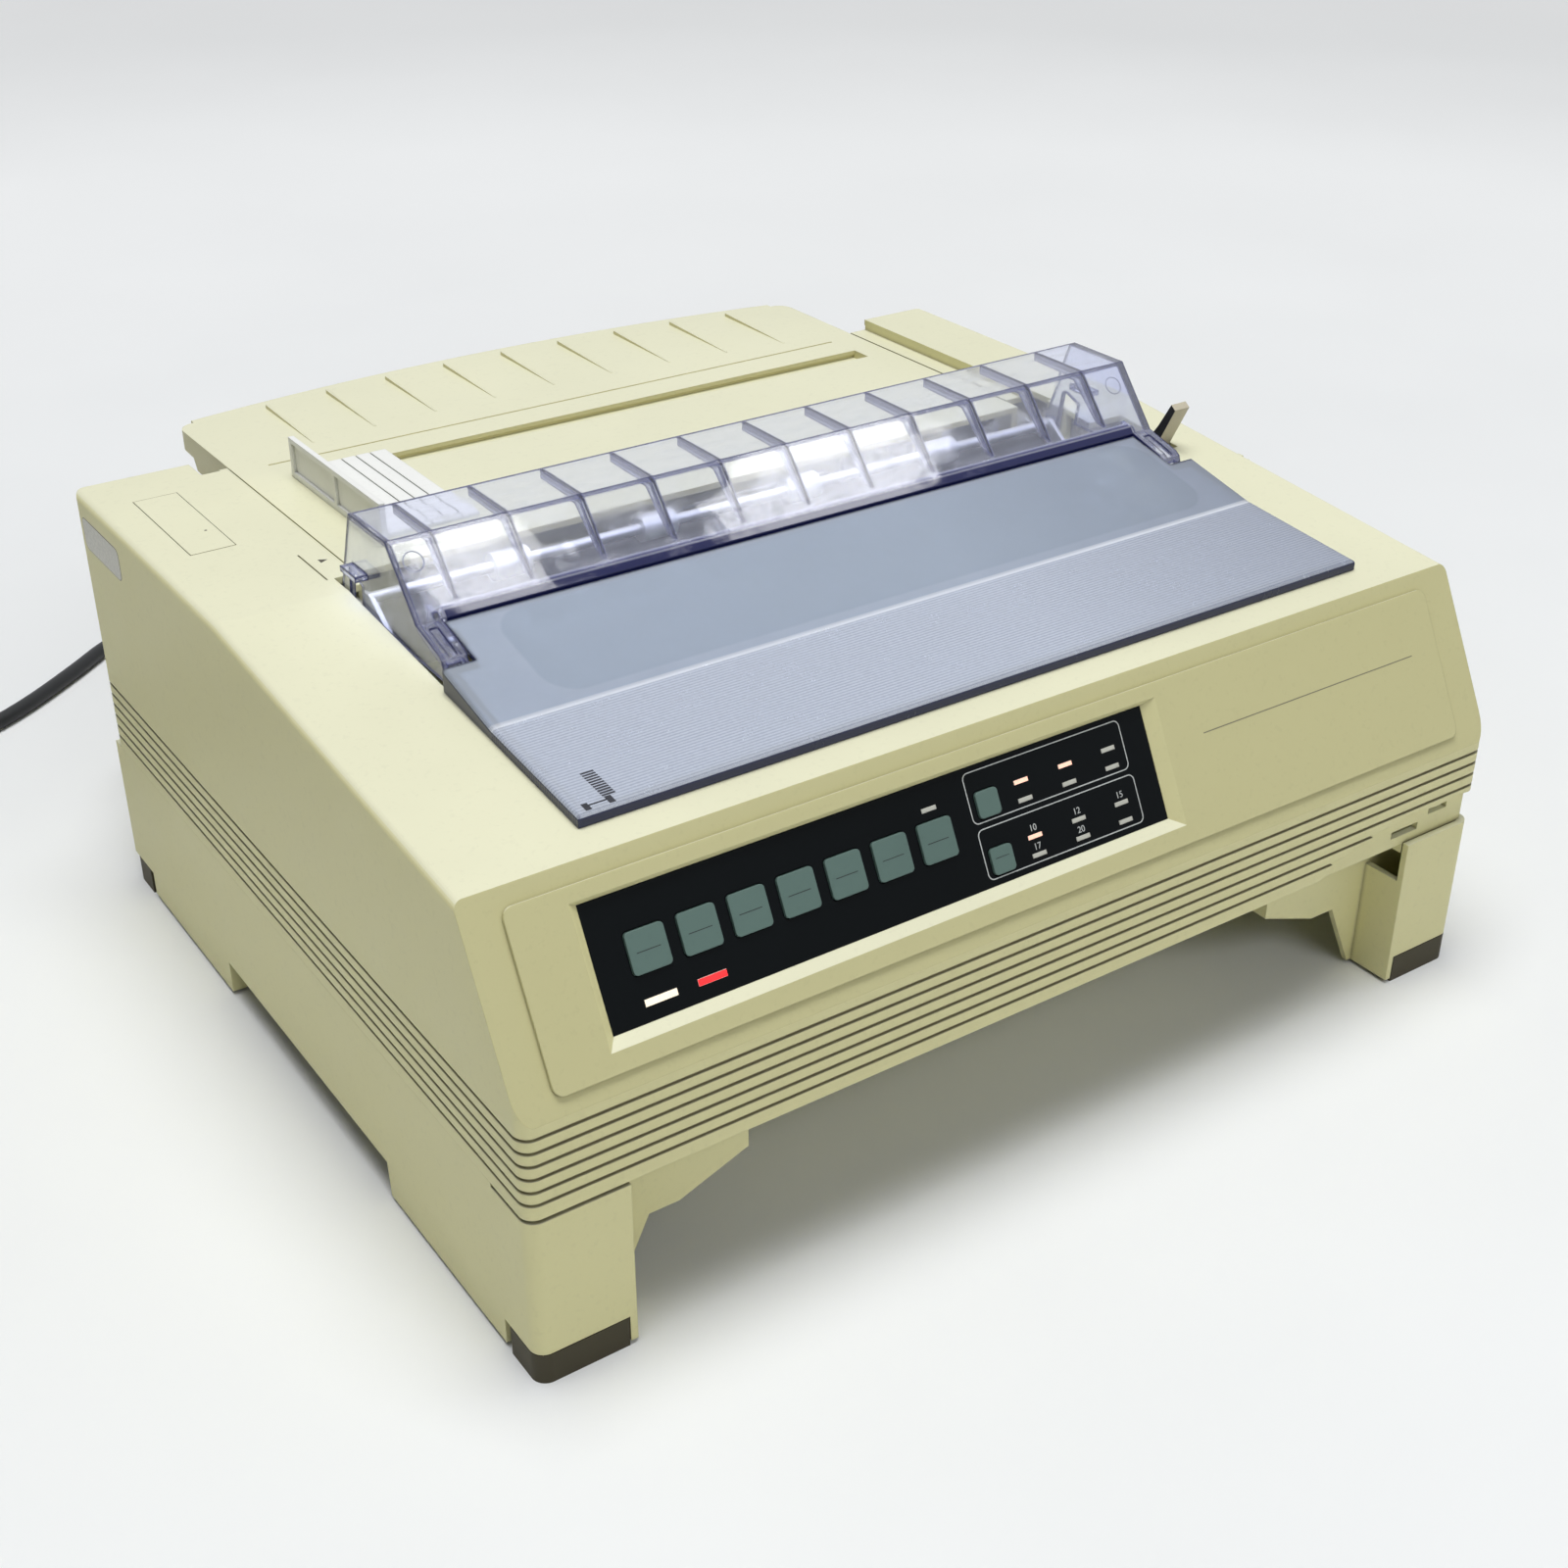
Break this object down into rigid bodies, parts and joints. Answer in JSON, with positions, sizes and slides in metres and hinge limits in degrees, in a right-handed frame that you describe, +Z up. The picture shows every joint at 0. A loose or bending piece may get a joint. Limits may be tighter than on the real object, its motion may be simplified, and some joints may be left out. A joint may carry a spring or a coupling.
{
  "type": "dot matrix printer",
  "caption": "Desktop impact printer with a clear hinged top cover, sloping key panel, rear sheet support, moving print carriage, geared platen and a coiled mains cord.",
  "frame": {"origin": "centre of the printer's box at table height, cord left out", "axes": "+X to the operator's right, +Y to the rear, +Z up"},
  "size_m": [0.5684, 0.5615, 0.199],
  "materials": {
    "case_cream": "aged cream moulding, fine texture",
    "foot_brown": "dark brown moulded pad",
    "panel_black": "smooth black membrane",
    "key_grey": "grey-green membrane key",
    "led_window": "small clear light window",
    "guide_grey": "pale grey moulding",
    "clear_blue": "clear blue-violet plastic",
    "smoked_plate": "smoked blue-grey plastic with fine hatch",
    "lever_beige": "beige moulding",
    "zinc_sheet": "zinc plated sheet",
    "bright_steel": "ground steel bar",
    "black_plastic": "black moulding",
    "head_metal": "dark cast metal",
    "belt_rubber": "black rubber",
    "gear_ivory": "ivory gear plastic",
    "brass_wheel": "turned brass",
    "board_green": "green circuit board",
    "core_steel": "varnished laminated core",
    "cord_black": "black flexible cord"
  },
  "bodies": {
    "housing": {"lower_case": "case_cream", "foot_front_left": "foot_brown", "foot_front_right": "foot_brown", "foot_rear_left": "foot_brown", "foot_rear_right": "foot_brown", "upper_case": "case_cream", "rear_panel": "case_cream", "knockout_cover": "case_cream", "control_panel": "panel_black", "led_windows": "led_window", "base_pan": "zinc_sheet", "left_frame": "zinc_sheet", "right_frame": "zinc_sheet", "carriage_rail": "bright_steel", "carriage_guide": "zinc_sheet", "carriage_belt": "belt_rubber", "carriage_motor": "head_metal", "feed_motor": "head_metal", "tractor_left": "black_plastic", "tractor_right": "black_plastic", "main_board": "board_green", "power_supply": "core_steel", "interface_socket": "zinc_sheet", "switch_frame": "black_plastic", "cord_gland": "cord_black", "power_cord": "cord_black", "cord_coil": "cord_black", "cord_tail": "cord_black", "cord_plug": "cord_black"},
    "support": {"sheet_support": "case_cream"},
    "guide": {"sheet_guide": "guide_grey"},
    "cover": {"top_cover": "clear_blue"},
    "plate": {"front_plate": "smoked_plate"},
    "lever": {"release_lever": "lever_beige"},
    "carriage": {"carriage": "black_plastic", "print_head": "head_metal", "ribbon_cartridge": "black_plastic"},
    "motor_pulley": {"motor_pulley": "brass_wheel"},
    "end_pulley": {"end_pulley": "brass_wheel"},
    "platen": {"platen": "belt_rubber", "platen_gear": "gear_ivory"},
    "idler": {"idler_gear": "gear_ivory"},
    "knob": {"feed_knob": "case_cream"},
    "step": {"step_gear": "gear_ivory"},
    "pinion": {"motor_pinion": "brass_wheel"},
    "tractor_drive": {"tractor_shaft": "bright_steel"},
    "bail": {"paper_bail": "zinc_sheet"},
    "switch": {"power_switch": "black_plastic"},
    "key_1": {"key_1": "key_grey"},
    "key_2": {"key_2": "key_grey"},
    "key_3": {"key_3": "key_grey"},
    "key_4": {"key_4": "key_grey"},
    "key_5": {"key_5": "key_grey"},
    "key_6": {"key_6": "key_grey"},
    "key_7": {"key_7": "key_grey"},
    "key_8": {"key_8": "key_grey"},
    "key_9": {"key_9": "key_grey"}
  },
  "joints": [
    {"name": "support_hinge", "type": "hinge", "parent": "housing", "child": "support", "pos_m": [0.002, 0.02075, 0.158], "axis": [1, 0, 0], "range_deg": [0, 45]},
    {"name": "guide_slide", "type": "slide", "parent": "support", "child": "guide", "axis": [1, 0, 0], "range_m": [-0.004, 0.2]},
    {"name": "cover_hinge", "type": "hinge", "parent": "housing", "child": "cover", "pos_m": [-0.001, 0.00075, 0.163], "axis": [-1, 0, 0], "range_deg": [0, 35]},
    {"name": "plate_hinge", "type": "hinge", "parent": "cover", "child": "plate", "pos_m": [-0.001, -0.06375, 0.1715], "axis": [-1, 0, 0], "range_deg": [0, 110]},
    {"name": "lever_pivot", "type": "hinge", "parent": "housing", "child": "lever", "pos_m": [0.17, -0.03925, 0.14], "axis": [-1, 0, 0], "range_deg": [0, 25]},
    {"name": "carriage_slide", "type": "slide", "parent": "housing", "child": "carriage", "axis": [1, 0, 0], "range_m": [-0.03, 0.184]},
    {"name": "motor_pulley_spin", "type": "hinge", "parent": "housing", "child": "motor_pulley", "pos_m": [-0.127, -0.07425, 0.126], "axis": [0, 0, 1], "range_deg": [-1509, 248]},
    {"name": "end_pulley_spin", "type": "hinge", "parent": "housing", "child": "end_pulley", "pos_m": [0.133, -0.07425, 0.126], "axis": [0, 0, 1], "range_deg": [-1509, 248]},
    {"name": "platen_spin", "type": "hinge", "parent": "housing", "child": "platen", "pos_m": [0, 0.00275, 0.146], "axis": [1, 0, 0], "continuous": true},
    {"name": "idler_spin", "type": "hinge", "parent": "housing", "child": "idler", "pos_m": [0.163, -0.03004, 0.14226], "axis": [1, 0, 0], "continuous": true},
    {"name": "knob_spin", "type": "hinge", "parent": "housing", "child": "knob", "pos_m": [0.163, -0.05786, 0.13909], "axis": [1, 0, 0], "continuous": true},
    {"name": "step_spin", "type": "hinge", "parent": "housing", "child": "step", "pos_m": [0.163, 0.03215, 0.14002], "axis": [1, 0, 0], "continuous": true},
    {"name": "pinion_spin", "type": "hinge", "parent": "housing", "child": "pinion", "pos_m": [0.163, 0.0171, 0.12432], "axis": [1, 0, 0], "continuous": true},
    {"name": "tractor_drive_spin", "type": "hinge", "parent": "housing", "child": "tractor_drive", "pos_m": [0.163, 0.05665, 0.13503], "axis": [1, 0, 0], "continuous": true},
    {"name": "bail_hinge", "type": "hinge", "parent": "housing", "child": "bail", "pos_m": [0, -0.01925, 0.15], "axis": [1, 0, 0], "range_deg": [0, 25]},
    {"name": "switch_rocker", "type": "hinge", "parent": "housing", "child": "switch", "pos_m": [-0.179, 0.13275, 0.133], "axis": [1, 0, 0], "range_deg": [0, 14]},
    {"name": "key_1_press", "type": "slide", "parent": "housing", "child": "key_1", "axis": [0, 0.8852, -0.4651], "range_m": [0, 0.0007], "stiffness_N_per_m": 200},
    {"name": "key_2_press", "type": "slide", "parent": "housing", "child": "key_2", "axis": [0, 0.8852, -0.4651], "range_m": [0, 0.0007], "stiffness_N_per_m": 200},
    {"name": "key_3_press", "type": "slide", "parent": "housing", "child": "key_3", "axis": [0, 0.8852, -0.4651], "range_m": [0, 0.0007], "stiffness_N_per_m": 200},
    {"name": "key_4_press", "type": "slide", "parent": "housing", "child": "key_4", "axis": [0, 0.8852, -0.4651], "range_m": [0, 0.0007], "stiffness_N_per_m": 200},
    {"name": "key_5_press", "type": "slide", "parent": "housing", "child": "key_5", "axis": [0, 0.8852, -0.4651], "range_m": [0, 0.0007], "stiffness_N_per_m": 200},
    {"name": "key_6_press", "type": "slide", "parent": "housing", "child": "key_6", "axis": [0, 0.8852, -0.4651], "range_m": [0, 0.0007], "stiffness_N_per_m": 200},
    {"name": "key_7_press", "type": "slide", "parent": "housing", "child": "key_7", "axis": [0, 0.8852, -0.4651], "range_m": [0, 0.0007], "stiffness_N_per_m": 200},
    {"name": "key_8_press", "type": "slide", "parent": "housing", "child": "key_8", "axis": [0, 0.8852, -0.4651], "range_m": [0, 0.0007], "stiffness_N_per_m": 200},
    {"name": "key_9_press", "type": "slide", "parent": "housing", "child": "key_9", "axis": [0, 0.8852, -0.4651], "range_m": [0, 0.0007], "stiffness_N_per_m": 200}
  ],
  "couplings": [
    {"joint": "motor_pulley_spin", "follows": "carriage_slide", "rad_per_m": -142.86},
    {"joint": "end_pulley_spin", "follows": "carriage_slide", "rad_per_m": -142.86},
    {"joint": "idler_spin", "follows": "platen_spin", "ratio": -1.5385},
    {"joint": "knob_spin", "follows": "platen_spin", "ratio": 1.3333},
    {"joint": "step_spin", "follows": "platen_spin", "ratio": -2},
    {"joint": "pinion_spin", "follows": "platen_spin", "ratio": -3.3333},
    {"joint": "tractor_drive_spin", "follows": "platen_spin", "ratio": 1.3333}
  ]
}
